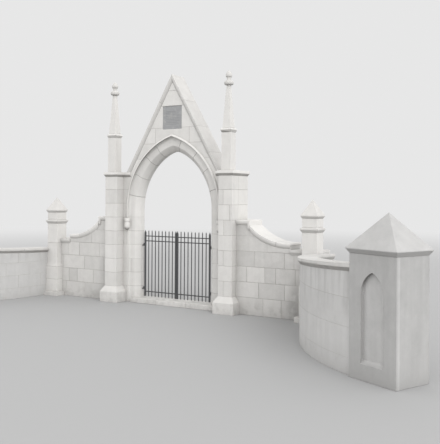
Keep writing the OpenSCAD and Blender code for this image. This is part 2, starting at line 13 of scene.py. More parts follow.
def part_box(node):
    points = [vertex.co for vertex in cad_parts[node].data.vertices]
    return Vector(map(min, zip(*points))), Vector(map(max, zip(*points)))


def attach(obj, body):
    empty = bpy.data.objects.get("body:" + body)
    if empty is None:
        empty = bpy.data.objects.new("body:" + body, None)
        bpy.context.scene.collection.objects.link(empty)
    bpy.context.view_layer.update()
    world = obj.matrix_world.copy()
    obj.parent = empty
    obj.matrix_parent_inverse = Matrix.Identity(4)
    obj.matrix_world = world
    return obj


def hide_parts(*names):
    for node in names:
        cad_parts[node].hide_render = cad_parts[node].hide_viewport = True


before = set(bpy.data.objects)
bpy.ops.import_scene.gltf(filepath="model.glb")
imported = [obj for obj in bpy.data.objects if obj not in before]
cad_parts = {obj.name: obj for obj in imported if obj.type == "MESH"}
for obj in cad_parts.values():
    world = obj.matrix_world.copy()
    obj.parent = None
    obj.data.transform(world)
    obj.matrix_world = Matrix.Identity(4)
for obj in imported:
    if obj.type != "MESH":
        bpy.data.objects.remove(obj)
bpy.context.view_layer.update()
X, Y, Z = Vector((1, 0, 0)), Vector((0, 1, 0)), Vector((0, 0, 1))

# Materials

# How far a stone's own tone moves its noises, so that no two stones share a pattern
TONE_SHIFT = 17.0
# Stretches a noise into runs down the face
RUN_STRETCH = (9.0, 9.0, 0.7)
# How near another face must be for painted shade to darken a hollow
HOLLOW_REACH = 0.28
# Dirt starts under this height at the foot of a wall
FOOT_HEIGHT = 0.42
# Rain washes down the render above these heights
WASH_HEIGHTS = (0.55, 1.15)
# Dirt and painted shade are given for a stone of this value, and are darker on a darker stone
DIRT_AND_SHADE_ON = 0.6
# How much faster blue falls than red rises in a warm grey
BLUE_FALL = 1.6
# The front of the end piers, turned towards the gateway, and how far it lies from the origin
END_TURN = radians(25)
END_FRONT = -0.8584
# Plain ruled lines on the plaque: their spacing, and where they fade out beside and above
RULED_ROW = 0.034
RULED_MIDDLE = 4.025
RULED_SIDE = (0.19, 0.17)
RULED_END = (0.17, 0.15)


class Shader:
    """One procedural material, built node by node."""

    def __init__(self, name):
        self.material = bpy.data.materials.new(name)
        self.material.use_nodes = True
        self.tree = self.material.node_tree
        self.bsdf = self.tree.nodes["Principled BSDF"]

    def node(self, kind, inputs=(), **settings):
        made = self.tree.nodes.new("ShaderNode" + kind)
        for key, value in settings.items():
            setattr(made, key, value)
        for key, value in dict(inputs).items():
            self.put(made.inputs[key], value)
        return made

    def put(self, socket, value):
        if isinstance(value, bpy.types.NodeSocket):
            self.tree.links.new(value, socket)
        else:
            socket.default_value = value

    def math(self, operation, a, b=0.0):
        return self.node("Math", {0: a, 1: b}, operation=operation).outputs[0]

    def place(self, scale=(1, 1, 1), offset=None):
        """The point on the object in metres, moved by offset and stretched by scale."""
        point = self.node("TexCoord").outputs["Object"]
        if offset is not None:
            point = self.node("VectorMath", {0: point, 1: offset}, operation="ADD").outputs[0]
        return self.node("VectorMath", {0: point, 1: scale}, operation="MULTIPLY").outputs[0]

    def axes(self):
        """The point's X, Y and Z."""
        return self.node("SeparateXYZ", {0: self.place()}).outputs

    def noise(self, scale, detail, rough, where):
        inputs = {"Scale": scale, "Detail": detail, "Roughness": rough, "Vector": where}
        return self.node("TexNoise", inputs).outputs["Fac"]

    def spread(self, value, low, high, to_low=0.0, to_high=1.0):
        """A smooth step of value from low to high."""
        return self.node("MapRange", {"Value": value, "From Min": low, "From Max": high,
                                      "To Min": to_low, "To Max": to_high},
                         interpolation_type="SMOOTHSTEP").outputs["Result"]

    def blend(self, factor, first, second):
        return self.node("Mix", {0: factor, 6: first, 7: second}, data_type="RGBA").outputs[2]

    def bump(self, height, distance, under=None):
        inputs = {"Height": height, "Distance": distance}
        if under is not None:
            inputs["Normal"] = under
        return self.node("Bump", inputs).outputs["Normal"]

    def finish(self, **inputs):
        for key, value in inputs.items():
            self.put(self.bsdf.inputs[key.replace("_", " ")], value)
        return self.material


def grey(value, warmth=0.0):
    """A grey with a little more red and less blue as warmth grows."""
    return (value * (1 + warmth), value, value * (1 - BLUE_FALL * warmth), 1.0)


def dirt_and_shade_on(value, level, warmth):
    """The colour of dirt, stains and painted shade on a stone of this value."""
    return grey(level * value / DIRT_AND_SHADE_ON, warmth)


def in_panel(s):
    """One inside the sunk panels of both end piers, nothing elsewhere."""
    x, y, _ = s.axes()
    aside = s.math("MULTIPLY", s.math("ABSOLUTE", x), sin(END_TURN))
    inward = s.math("ADD", aside, s.math("MULTIPLY", y, cos(END_TURN)))
    depth = s.math("SUBTRACT", inward, END_FRONT)
    return s.math("MULTIPLY", s.spread(depth, 0.01, 0.04), s.spread(depth, 0.07, 0.055))


def varied(s, colour, level, noises, panel):
    """A colour that is lighter or darker by level, by each noise, and inside a panel."""
    for part, amount in noises:
        level = s.math("ADD", level, s.math("MULTIPLY", s.math("SUBTRACT", part, 0.5), 2 * amount))
    shade = s.math("ADD", level, 1.0)
    if panel:
        shade = s.math("MULTIPLY", shade, s.math("ADD", s.math("MULTIPLY", in_panel(s), panel), 1.0))
    return s.node("VectorMath", {0: colour[:3], "Scale": shade}, operation="SCALE").outputs[0]


def shaded_and_soiled(s, colour, value, hollow_shade_and_grime, soiled_foot, patches, runs):
    """Painted shade in hollows and corners, where the AO node finds other faces near, and splashed dirt at
    the foot of a wall.
    """
    reach = {"Distance": HOLLOW_REACH}
    hollow = s.node("AmbientOcclusion", reach, samples=6, inside=False).outputs["AO"]
    # Painted shade: darker where other faces are near, varied in runs
    hollow_shade = s.math("MULTIPLY", s.spread(hollow, 0.95, 0.25), s.spread(runs, 0.30, 0.70, 0.45, 1.0))
    foot = s.math("MULTIPLY", s.spread(s.axes()[2], FOOT_HEIGHT, 0.0), s.spread(patches, 0.38, 0.66))
    shade_and_soil = s.math("MAXIMUM", hollow_shade, s.math("MULTIPLY", foot, soiled_foot))
    return s.blend(s.math("MULTIPLY", shade_and_soil, hollow_shade_and_grime), colour, dirt_and_shade_on(value, 0.16, 0.05))


def washed(s, colour, value, drip, runs):
    """Stains that run down from a coping."""
    stain = s.math("MULTIPLY", s.spread(s.axes()[2], *WASH_HEIGHTS), s.spread(runs, 0.44, 0.66))
    return s.blend(s.math("MULTIPLY", stain, drip), colour, dirt_and_shade_on(value, 0.2, 0.03))


def damped(s, colour, value, damp, patches):
    """A damp patch, taller than wide, round the place damp."""
    apart = s.node("VectorMath", {0: s.place(scale=(1, 0, 0.42)), 1: damp}, operation="DISTANCE")
    wet = s.math("MULTIPLY", s.spread(apart.outputs["Value"], 0.30, 0.08),
                 s.spread(patches, 0.30, 0.55, 0.3, 1.0))
    return s.blend(s.math("MULTIPLY", wet, 0.45), colour, dirt_and_shade_on(value, 0.2, 0.03))


def underside_shaded(s, colour, value, under, patches):
    """Painted shade on undersides, darker the more a face looks down, and patchy."""
    facing = s.node("SeparateXYZ", {0: s.node("NewGeometry").outputs["Normal"]}).outputs[2]
    underside_shade = s.math("MULTIPLY", s.spread(facing, -0.12, -0.62), s.spread(patches, 0.2, 0.7, 0.75, 1.0))
    return s.blend(s.math("MULTIPLY", underside_shade, under), colour, dirt_and_shade_on(value, 0.14, 0.05))


def stone(name, value, warmth=0.02, tone=0.05, mottle=0.10, speckle=0.10, streak=0.10, hollow_shade_and_grime=0.35,
          relief=0.0012, rough_relief=0.0, under=0.62, panel=0.0, drip=0.0, damp=None, soiled_foot=1.0):
    """Weathered stone.

    value and warmth are its colour. tone, mottle, speckle and streak say how much that varies from
    stone to stone, in patches, in grain and in runs. hollow_shade_and_grime is the strength of painted
    shade in hollows and of dirt at the foot, under is the strength of painted shade on undersides, drip
    is the strength of stains below copings and soiled_foot that of dirt at the foot. relief and
    rough_relief are the depth of grain and of tooling. panel lightens a sunk panel, and damp is the
    middle of a damp patch.
    """
    s = Shader(name)
    own = s.node("Attribute", attribute_name="tone", attribute_type="GEOMETRY").outputs["Fac"]
    shift = s.math("MULTIPLY", own, TONE_SHIFT)
    here = s.place(offset=s.node("CombineXYZ", {0: shift, 1: shift, 2: shift}).outputs[0])
    grain = s.noise(95.0, 5.0, 0.7, here)
    patches = s.noise(7.0, 4.0, 0.6, here)
    runs = s.noise(1.0, 4.0, 0.55, s.place(scale=RUN_STRETCH))
    broad = s.noise(0.9, 3.0, 0.55, s.place())

    noises = ((patches, mottle), (grain, speckle), (runs, streak), (broad, mottle))
    colour = varied(s, grey(value, warmth), s.math("MULTIPLY", own, tone), noises, panel)
    # Painted shade in hollows, and dirt at the foot
    colour = shaded_and_soiled(s, colour, value, hollow_shade_and_grime, soiled_foot, patches, runs)
    if drip:
        colour = washed(s, colour, value, drip, runs)
    if damp:
        colour = damped(s, colour, value, damp, patches)
    # Painted shade on undersides
    colour = underside_shaded(s, colour, value, under, patches)

    normal = s.bump(grain, relief)
    if rough_relief:
        normal = s.bump(s.noise(24.0, 4.0, 0.55, here), rough_relief, under=normal)
    return s.finish(Base_Color=colour, Roughness=s.spread(patches, 0.2, 0.8, 0.78, 0.95),
                    Specular_IOR_Level=0.25, Normal=normal)


def mortar(name, value):
    s = Shader(name)
    grain = s.noise(160.0, 4.0, 0.7, s.place())
    colour = s.blend(s.spread(grain, 0.3, 0.7), grey(value * 0.8, 0.03), grey(value * 1.2, 0.03))
    return s.finish(Base_Color=colour, Roughness=0.95, Specular_IOR_Level=0.15,
                    Normal=s.bump(grain, 0.0015))


def ruled_lines(s):
    """Plain level lines across the plaque, which say nothing."""
    x, _, z = s.axes()
    rows = s.math("SINE", s.math("MULTIPLY", z, 2 * pi / RULED_ROW))
    aside = s.math("ABSOLUTE", x)
    above = s.math("ABSOLUTE", s.math("SUBTRACT", z, RULED_MIDDLE))
    within = s.math("MULTIPLY", s.spread(aside, *RULED_SIDE), s.spread(above, *RULED_END))
    return s.math("MULTIPLY", s.spread(rows, 0.30, 0.75), within)


def slate(name):
    """Honed slate with faint riven bands, lichen and ruled lines."""
    s = Shader(name)
    ruled = ruled_lines(s)
    bands = s.noise(3.0, 5.0, 0.6, s.place(scale=(0.7, 1.0, 9.0)))
    specks = s.noise(60.0, 4.0, 0.7, s.place())
    bloom = s.spread(s.noise(9.0, 5.0, 0.65, s.place()), 0.50, 0.68)
    colour = s.blend(bands, grey(0.25, -0.01), grey(0.36, -0.01))
    colour = s.blend(s.math("MULTIPLY", bloom, 0.35), colour, grey(0.50, 0.03))
    colour = s.blend(s.math("MULTIPLY", s.spread(specks, 0.45, 0.75), 0.25), colour, grey(0.42))
    colour = s.blend(s.math("MULTIPLY", ruled, 0.45), colour, grey(0.20))
    return s.finish(Base_Color=colour, Roughness=s.spread(specks, 0.3, 0.8, 0.45, 0.65),
                    Specular_IOR_Level=0.4, Normal=s.bump(ruled, -0.0015, under=s.bump(bands, 0.0010)))


def black_iron(name):
    """Black paint on wrought iron, brushed on thick, with rust where it has lifted."""
    s = Shader(name)
    coat = s.noise(38.0, 4.0, 0.6, s.place())
    pits = s.noise(210.0, 3.0, 0.6, s.place())
    lifted = s.spread(s.noise(11.0, 5.0, 0.7, s.place()), 0.60, 0.72)
    low = s.spread(s.axes()[2], 0.42, 0.10, 0.25, 1.0)
    rust = s.math("MULTIPLY", lifted, low)
    paint = s.blend(coat, (0.040, 0.041, 0.043, 1), (0.085, 0.086, 0.089, 1))
    colour = s.blend(rust, paint, (0.115, 0.055, 0.030, 1))
    rough = s.math("ADD", s.math("MULTIPLY", rust, 0.35), s.spread(coat, 0.2, 0.8, 0.38, 0.56))
    return s.finish(Base_Color=colour, Roughness=rough, Specular_IOR_Level=0.5,
                    Normal=s.bump(pits, 0.0003, under=s.bump(coat, 0.0008)))


# In each stone below, the darkening in hollows and on undersides is painted shade; foot dirt, stains and damp
# are real
ASHLAR = stone("pale_ashlar", 0.62, tone=0.045, mottle=0.08, speckle=0.07, streak=0.07, hollow_shade_and_grime=0.32,
               under=0.22)
SQUARED = stone("squared_stone", 0.545, tone=0.070, mottle=0.12, speckle=0.11, streak=0.08, hollow_shade_and_grime=0.38,
                rough_relief=0.0060, damp=(2.98, 0.0, 0.10))
PALE = stone("pale_dressed_stone", 0.675, tone=0.035, mottle=0.06, speckle=0.06, streak=0.06, hollow_shade_and_grime=0.42,
             under=0.85)
DRESSED = stone("dressed_stone", 0.56, tone=0.035, mottle=0.08, speckle=0.07, streak=0.08, hollow_shade_and_grime=0.50)
TURNED = stone("turned_stone", 0.57, mottle=0.08, speckle=0.07, streak=0.05, hollow_shade_and_grime=0.42, under=0.25)
SLOPED = stone("gable_coping_stone", 0.55, tone=0.030, mottle=0.10, speckle=0.08, streak=0.08, hollow_shade_and_grime=0.55,
               under=0.90)
RENDER = stone("lime_render", 0.53, warmth=0.01, tone=0.02, mottle=0.09, speckle=0.09, streak=0.10,
               hollow_shade_and_grime=0.40, relief=0.0008, drip=0.25, soiled_foot=0.55)
PIER_RENDER = stone("pier_render", 0.405, warmth=0.01, tone=0.0, mottle=0.12, speckle=0.10,
                    streak=0.11, hollow_shade_and_grime=0.40, relief=0.0008, panel=0.16, soiled_foot=0.45)
CAP_RENDER = stone("cap_render", 0.470, warmth=0.01, tone=0.0, mottle=0.13, speckle=0.10, streak=0.05,
                   hollow_shade_and_grime=0.40, relief=0.0010, under=0.35)
MORTAR = mortar("lime_mortar", 0.42)
DARK_MORTAR = mortar("weathered_mortar", 0.42)
SEAM_MORTAR = mortar("seam_mortar", 0.26)
RENDER_LINE = mortar("render_line", 0.42)
SLATE = slate("honed_slate")
IRON = black_iron("black_iron")

# Closed meshes cut into stones. Index 0 is a stone's face and index 1 its bed, in mortar.

# Corners closer than this are one
WELD = 1e-5
# Faces closer than this in angle are one
FLAT = radians(0.4)
# An edge sharper than this is an arris
ARRIS_ANGLE = radians(28)
# The cosine above which a face counts as square to a plane
SQUARE_TO = 0.99
# A closed mesh has at least this many faces
FEWEST_FACES = 4
STONE_FACE = 0
STONE_BED = 1
TURNED_SIDES = 36


def solid_of(node):
    """The closed mesh of a CAD node, with its flat faces made whole."""
    solid = bmesh.new()
    solid.from_mesh(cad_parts[node].data)
    bmesh.ops.remove_doubles(solid, verts=solid.verts, dist=WELD)
    bmesh.ops.dissolve_limit(solid, angle_limit=FLAT, verts=solid.verts, edges=solid.edges)
    faced(solid, STONE_FACE)
    return solid


def faced(solid, index):
    """Gives all faces of a mesh one material."""
    for face in solid.faces:
        face.material_index = index


def part_beyond(solid, point, normal):
    """What of a closed mesh lies on the side of a plane that its normal points away from."""
    part = solid.copy()
    part.normal_update()
    everything = part.verts[:] + part.edges[:] + part.faces[:]
    cut = bmesh.ops.bisect_plane(part, geom=everything, dist=WELD, plane_co=point, plane_no=normal,
                                 clear_outer=True)
    across = [f for f in part.faces if f.normal.dot(normal) < -SQUARE_TO
              and all(abs((v.co - point).dot(normal)) < 2 * WELD for v in f.verts)]
    bmesh.ops.delete(part, geom=across, context="FACES")
    rim = [e for e in cut["geom_cut"] if e.is_valid and isinstance(e, bmesh.types.BMEdge) and e.is_boundary]
    if rim and part.faces:
        filled = bmesh.ops.triangle_fill(part, edges=rim, use_beauty=True, use_dissolve=True)
        for made in filled["geom"]:
            if isinstance(made, bmesh.types.BMFace):
                made.material_index = STONE_BED
    if len(part.faces) < FEWEST_FACES:
        part.free()
        return []
    return [part]


def parts_beyond(solids, point, normal):
    return [part for solid in solids for part in part_beyond(solid, point, normal)]


def split(solids, planes):
    """Cuts closed meshes along planes, each a point and a normal."""
    for point, normal in planes:
        solids = [part for solid in solids for way in (normal, -normal)
                  for part in part_beyond(solid, point, way)]
    return solids


def seam(solids, planes, width):
    """Cuts closed meshes along planes and leaves a flush seam of mortar of this width in each cut."""
    seams = []
    for point, normal in planes:
        near = point - normal * width / 2
        far = point + normal * width / 2
        seams += parts_beyond(parts_beyond(solids, near, -normal), far, normal)
        solids = [part for solid in solids
                  for part in part_beyond(solid, near, normal) + part_beyond(solid, far, -normal)]
    for part in seams:
        faced(part, STONE_BED)
    return solids, seams


def lay(node, beds, joints):
    """Cuts a node into courses at the heights in beds, and each course by its own planes, from the foot."""
    rest, stones = [solid_of(node)], []
    for number, planes in enumerate(joints):
        if number < len(beds):
            level = Z * beds[number]
            course = parts_beyond(rest, level, Z)
            rest = parts_beyond(rest, level, -Z)
        else:
            course, rest = rest, []
        stones += split(course, planes)
    return stones


def dress(stone_mesh, chamfer, own_tone):
    """Chamfers a stone's edges, gives the chamfers at its beds the mortar, and sets its tone."""
    bmesh.ops.dissolve_limit(stone_mesh, angle_limit=FLAT, verts=stone_mesh.verts,
                             edges=stone_mesh.edges, delimit={"MATERIAL"})
    bmesh.ops.recalc_face_normals(stone_mesh, faces=stone_mesh.faces)
    if chamfer:
        arrises = [e for e in stone_mesh.edges if e.is_manifold and e.calc_face_angle() > ARRIS_ANGLE]
        made = bmesh.ops.bevel(stone_mesh, geom=arrises, offset=chamfer, offset_type="OFFSET", segments=1,
                               affect="EDGES", clamp_overlap=True, loop_slide=True)
        fresh = set(made["faces"])
        for face in fresh:
            beside = {f for e in face.edges for f in e.link_faces} - fresh
            by_bed = any(f.material_index == STONE_BED for f in beside)
            face.material_index = STONE_BED if by_bed else STONE_FACE
    tone = stone_mesh.faces.layers.float.new("tone")
    for face in stone_mesh.faces:
        face[tone] = own_tone
        face.smooth = True
    for edge in stone_mesh.edges:
        edge.smooth = edge.is_manifold and edge.calc_face_angle() < ARRIS_ANGLE


def swept(rings):
    """A closed mesh through a row of rings that have the same number of corners."""
    solid = bmesh.new()
    rows = [[solid.verts.new(corner) for corner in ring] for ring in rings]
    for near, far in zip(rows, rows[1:]):
        for i in range(len(near)):
            solid.faces.new((near[i], near[i - 1], far[i - 1], far[i]))
    solid.faces.new(rows[0])
    solid.faces.new(reversed(rows[-1]))
    bmesh.ops.recalc_face_normals(solid, faces=solid.faces)
    return solid


def turned(profile, x, y, z):
    """A closed round mesh about an upright axis, through rings of the radii and heights in profile."""
    rings = []
    for radius, height in profile:
        ring = []
        for i in range(TURNED_SIDES):
            turn = 2 * pi * i / TURNED_SIDES
            ring.append((x + radius * cos(turn), y + radius * sin(turn), z + height))
        rings.append(ring)
    return swept(rings)


def stand_uneven(stone_mesh, most, chance):
    """Makes a stone a little thicker or thinner from front to back than its neighbours."""
    across = [v.co.y for v in stone_mesh.verts]
    middle = (min(across) + max(across)) / 2
    change = chance.uniform(-2 * most, most) / (max(across) - min(across))
    for v in stone_mesh.verts:
        v.co.y = middle + (v.co.y - middle) * (1 + change)


def masonry(name, node, stones, face, joint, chamfer, seams=(), uneven=0.0):
    """One piece made of a node's separate stones."""
    chance = Random(name)
    whole = bmesh.new()
    whole.faces.layers.float.new("tone")
    for stone_mesh in stones + list(seams):
        if uneven:
            stand_uneven(stone_mesh, uneven, chance)
        dress(stone_mesh, 0.0 if stone_mesh in seams else chamfer, chance.uniform(-1, 1))
        passing = bpy.data.meshes.new("passing")
        stone_mesh.to_mesh(passing)
        whole.from_mesh(passing)
        bpy.data.meshes.remove(passing)
        stone_mesh.free()
    mesh = bpy.data.meshes.new(name)
    whole.to_mesh(mesh)
    whole.free()
    mesh.materials.append(face)
    mesh.materials.append(joint)
    piece = bpy.data.objects.new(name, mesh)
    bpy.context.scene.collection.objects.link(piece)
    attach(piece, "gateway")
    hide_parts(node)


def way_of(side):
    return -1 if side == "left" else 1


def upright(*places):
    """Planes square to X at these places."""
    return [(X * x, X) for x in places]


# Gate piers, arch and gable

COURSE = 0.305
COURSES = 8
PLINTH_TOP = 0.350
SHOULDER_TOP = 2.765
BEDS = [PLINTH_TOP + COURSE * i for i in range(COURSES)]
# Above the last bed, a course reaches past the top of the pier
PAST_THE_TOP = SHOULDER_TOP + 1

# The X of the upright joint in each course from the foot, or None
BUTTRESS_JOINTS = {"left": [None] * 9,
                   "right": [None, 1.435, None, 1.431, None, 1.438, 1.574, 1.422, None]}
JAMB_JOINTS = {"left": [-1.21, None, -1.118, None, -1.21, None],
               "right": [None, 1.20, None, 1.118, None, 1.20]}

# The ring is struck from two centres at the height where its curve starts
CURVE_START = 2.060
ARCH_CENTRE = 0.450
RING_OUTER = 1.573
RING_INNER = 1.368
RING_SEAM = 0.006
VOUSSOIRS = {"left": (11.0, 28.0, 44.5, 57.0), "right": (16.0, 33.0, 48.7, 65.7)}
CROWN_SLOPE = 0.33
CROWN_REACH = 0.13

GABLE_BEDS = (2.180, 2.485, SHOULDER_TOP, 3.150, 3.480, 3.810, 4.276, 4.600)
GABLE_JOINTS = ((-1.37, 1.37), (-1.47, 1.45), (-1.36, 1.39), (0.02,), (0.02,), (-0.441, 0.441),
                (0.0,), (), ())
GABLE_SLOPE = radians(60)
# X and Z of the joints in the right coping
GABLE_COPING_JOINTS = ((0.349, 4.390), (0.669, 3.836), (0.989, 3.282))
THRESHOLD_JOINTS = (-0.36, 0.40)


def gate_pier(side):
    """Courses of a pier, parted where the buttress stands in front of the wall."""
    node = side + "_gate_pier"
    back = JAMB_JOINTS[side]
    rest, stones = [solid_of(node)], []
    for number, front in enumerate(BUTTRESS_JOINTS[side]):
        behind = back[number] if number < len(back) else None
        level = Z * (BEDS[number] if number < len(BEDS) else PAST_THE_TOP)
        course = parts_beyond(rest, level, Z)
        rest = parts_beyond(rest, level, -Z)
        buttress = parts_beyond(course, Vector(), Y)
        wall = parts_beyond(course, Vector(), -Y)
        stones += split(buttress, upright(front) if front else [])
        stones += split(wall, upright(behind) if behind else [])
    masonry(side + "_pier_stones", node, stones, ASHLAR, MORTAR, chamfer=0.004)


def blunt_crown(solid):
    """Rounds the point of the ring as the photographed one is, most at its inner edge."""
    for v in solid.verts:
        if v.co.z > CURVE_START:
            away = hypot(abs(v.co.x) + ARCH_CENTRE, v.co.z - CURVE_START)
            share = min(max((RING_OUTER - away) / (RING_OUTER - RING_INNER), 0.0), 1.0)
            v.co.z -= CROWN_SLOPE * share * (hypot(v.co.x, CROWN_REACH) - abs(v.co.x))
    return solid


def arch_ring(side):
    """Voussoirs, with joints that point to the centre the ring is struck from."""
    way = way_of(side)
    centre = Vector((-way * ARCH_CENTRE, 0, CURVE_START))
    planes = [(centre, Vector((-way * sin(a), 0, cos(a)))) for a in map(radians, VOUSSOIRS[side])]
    node = "arch_ring_" + side
    stones, seams = seam([blunt_crown(solid_of(node))], planes, RING_SEAM)
    masonry("arch_stones_" + side, node, stones, ASHLAR, SEAM_MORTAR, chamfer=0.004, seams=seams)


def gable():
    stones = lay("gable_masonry", GABLE_BEDS, [upright(*places) for places in GABLE_JOINTS])
    masonry("gable_stones", "gable_masonry", stones, ASHLAR, MORTAR, chamfer=0.004)


def gable_coping(side):
    """Coping stones as long as the photographed ones, jointed square to the slope."""
    way = way_of(side)
    slope = Vector((way * cos(GABLE_SLOPE), 0, -sin(GABLE_SLOPE)))
    planes = [(Vector((way * x, 0, z)), slope) for x, z in GABLE_COPING_JOINTS]
    node = "gable_coping_" + side
    stones = split([solid_of(node)], planes)
    masonry("gable_coping_stones_" + side, node, stones, SLOPED, MORTAR, chamfer=0.003)


def threshold():
    stones = split([solid_of("threshold")], upright(*THRESHOLD_JOINTS))
    masonry("threshold_stones", "threshold", stones, ASHLAR, MORTAR, chamfer=0.006)


# Turned stones: profiles as radius and height

PINNACLE_X = 1.470
PINNACLE_Y = -0.1225
SPIRE_TOP = 4.581
COLLAR = ((0.030, -0.002), (0.052, 0.000), (0.076, 0.006), (0.090, 0.016), (0.096, 0.030), (0.098, 0.046),
          (0.096, 0.060), (0.090, 0.073), (0.080, 0.083), (0.067, 0.090), (0.055, 0.094))
NECK = ((0.048, 0.099), (0.044, 0.112), (0.043, 0.128), (0.044, 0.143), (0.047, 0.154))
BUD = ((0.054, 0.161), (0.0605, 0.170), (0.0645, 0.181), (0.066, 0.194), (0.065, 0.208), (0.061, 0.224),
       (0.0545, 0.240), (0.046, 0.255), (0.036, 0.269), (0.025, 0.281), (0.013, 0.290), (0.003, 0.2945))

# The radius of the CAD solid under the hood's feet, whose outer side gives its middle
STOP_RADIUS = 0.064
DROP = ((0.052, 0.000), (0.066, -0.005), (0.071, -0.018), (0.072, -0.050), (0.069, -0.070), (0.063, -0.085),
        (0.060, -0.098), (0.063, -0.112), (0.068, -0.128), (0.070, -0.150), (0.069, -0.178), (0.064, -0.205),
        (0.055, -0.229), (0.042, -0.250), (0.026, -0.266), (0.010, -0.275), (0.002, -0.277))


def finials():
    """A rounded collar, a stout neck and a bud, turned in one, on both spires."""
    stones = [turned(COLLAR + NECK + BUD, way * PINNACLE_X, PINNACLE_Y, SPIRE_TOP) for way in (-1, 1)]
    masonry("turned_finials", "pinnacle_finials", stones, TURNED, MORTAR, chamfer=0.0)


def hood_drops():
    """Turned drops under the feet of the hood, halved by the wall."""
    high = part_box("hood_stops")[1]
    middle = high[0] - STOP_RADIUS
    whole = [turned(DROP, way * middle, 0.0, high[2]) for way in (-1, 1)]
    stones = parts_beyond(whole, Vector(), Y)
    masonry("turned_drops", "hood_stops", stones, PALE, MORTAR, chamfer=0.0)


# Wing walls

WING_BEDS = BEDS[:6]
# The X of the upright joints in each course from the foot
WING_JOINTS = {
    "left": [[-2.36, -2.95], [-2.110, -2.598, -2.860], [-1.815, -2.379, -3.03],
             [-1.930, -2.544, -2.890], [-2.16], [], []],
    "right": [[2.226, 2.637, 3.02], [2.147, 2.709], [1.877, 2.277, 2.515, 2.93],
              [2.043, 2.694, 2.904], [2.316], [], []],
}
# The most that a joint leans, in degrees, and the height that it turns about
MOST_LEAN = 1.4
LEAN_ABOUT = 0.9

# The sweep starts level with the kneeler's foot and ends at the step
WING_START = 1.955
SWEEP_TOP = 1.775
STEP_X = 2.825
# The top of the sweep's foot, and how far the sweep runs
SWEEPS = {"left": (1.445, 0.790), "right": (1.450, 0.800)}
SWEEP_PARTS = 40
SWEEP_JOINTS = (0.36, 0.72)
# The coping's section, as Y and the drop from its top
WING_PROFILE = ((-0.110, 0), (-0.110, 0.044), (-0.080, 0.104), (-0.080, 0.044),
                (0.400, 0.044), (0.400, 0.104), (0.430, 0.044), (0.430, 0))
# How far inside the kneeler's end the node is cut, so that its two solids come apart
KNEELER_CUT = 0.0005


def leaning(places, chance):
    """Upright joints that stand a little out of true, as between stones squared by hand."""
    planes = []
    for x in places:
        lean = radians(chance.uniform(-MOST_LEAN, MOST_LEAN))
        planes.append((Vector((x, 0, LEAN_ABOUT)), Vector((cos(lean), 0, sin(lean)))))
    return planes


def wing(side):
    chance = Random("wing " + side)
    joints = [leaning(places, chance) for places in WING_JOINTS[side]]
    node = side + "_wing_wall"
    stones = lay(node, WING_BEDS, joints)
    masonry(side + "_wing_stones", node, stones, SQUARED, DARK_MORTAR, chamfer=0.005,
            uneven=0.004)


def sweep_radius(side):
    low, run = SWEEPS[side]
    fall = SWEEP_TOP - low
    return (run ** 2 + fall ** 2) / (2 * fall)


def whole_sweep(side):
    """The swept coping in one, from inside the kneeler down to the step."""
    way = way_of(side)
    low, run = SWEEPS[side]
    radius = sweep_radius(side)
    middle = WING_START + run
    steepest = asin(run / radius) + radians(1)
    rings = [[(way * STEP_X, y, low - drop) for y, drop in WING_PROFILE]]
    for i in range(SWEEP_PARTS + 1):
        turn = steepest * i / SWEEP_PARTS
        rings.append([(way * (middle - (radius + drop) * sin(turn)), y,
                       low + radius - (radius + drop) * cos(turn)) for y, drop in WING_PROFILE])
    return swept(rings)


def sweep_joints(side):
    """Joints that point to the centre the sweep is struck from."""
    way = way_of(side)
    low, run = SWEEPS[side]
    radius = sweep_radius(side)
    middle = WING_START + run
    centre = Vector((way * middle, 0, low + radius))
    planes = []
    for share in SWEEP_JOINTS:
        x = WING_START + run * share
        z = low + radius - (radius ** 2 - (middle - x) ** 2) ** 0.5
        toward = (centre - Vector((way * x, 0, z))).normalized()
        planes.append((Vector((way * x, 0, z)), Vector((toward.z, 0, -toward.x))))
    return planes


def wing_coping(side):
    """The kneeler, cut from the CAD, and coping stones along the sweep."""
    node = side + "_wing_coping"
    outward = X * way_of(side)
    start = outward * (WING_START - KNEELER_CUT)
    kneeler = part_beyond(solid_of(node), start, outward)
    faced(kneeler[0], STONE_FACE)
    sweep = part_beyond(whole_sweep(side), start, -outward)
    stones = kneeler + split(sweep, sweep_joints(side))
    masonry(side + "_wing_coping_stones", node, stones, PALE, MORTAR, chamfer=0.007)


# Outer piers

OUTER_BEDS = (0.100, 0.385, 0.680, 1.230)


def outer_pier(side):
    node = side + "_outer_pier"
    stones = lay(node, OUTER_BEDS, [()] * (len(OUTER_BEDS) + 1))
    masonry(side + "_outer_pier_stones", node, stones, ASHLAR, MORTAR, chamfer=0.004)


# Curved walls. Angles are in degrees from the outer pier, about the centre the wall is struck from.

CURVE_CENTRE = Vector((7.0245, -0.2105, 0))
CURVE_RADIUS = 3.6
CURVE_ANGLE = 60
CURVE_THICK = 0.270
# Heights of the coping's top by the outer pier and by the end pier
CURVE_TOPS = {"left": (1.105, 1.240), "right": (1.300, 1.480)}
CURVE_BEDS = {"left": (0.240, 0.525, 0.810), "right": (0.230, 0.630, 1.020)}
# The angle from one upright line to the next, and the first line's share of it in alternate courses
CURVE_LENGTHS = {"left": 9.6, "right": 13.0}
FIRST_LINES = (0.85, 0.35)
LAST_LINE = 59
LINES_A_COURSE = 3

COPING_JOINTS = (11, 23, 35, 47)
COPING_THICK = 0.048
FRONT_LIP = 0.040
BACK_LIP = 0.030
SPLAY_DROP = 0.108
# How far a splay runs into the wall and the coping
SPLAY_LAP = 0.004
SPLAY_RISE = 0.003
# A splay ends a little past both ends of the wall, by this angle, in this many parts
SPLAY_PAST = 0.3
SPLAY_PARTS = 60
# At the back the splay runs on straight to the outer pier
BACK_LEAD = 0.150


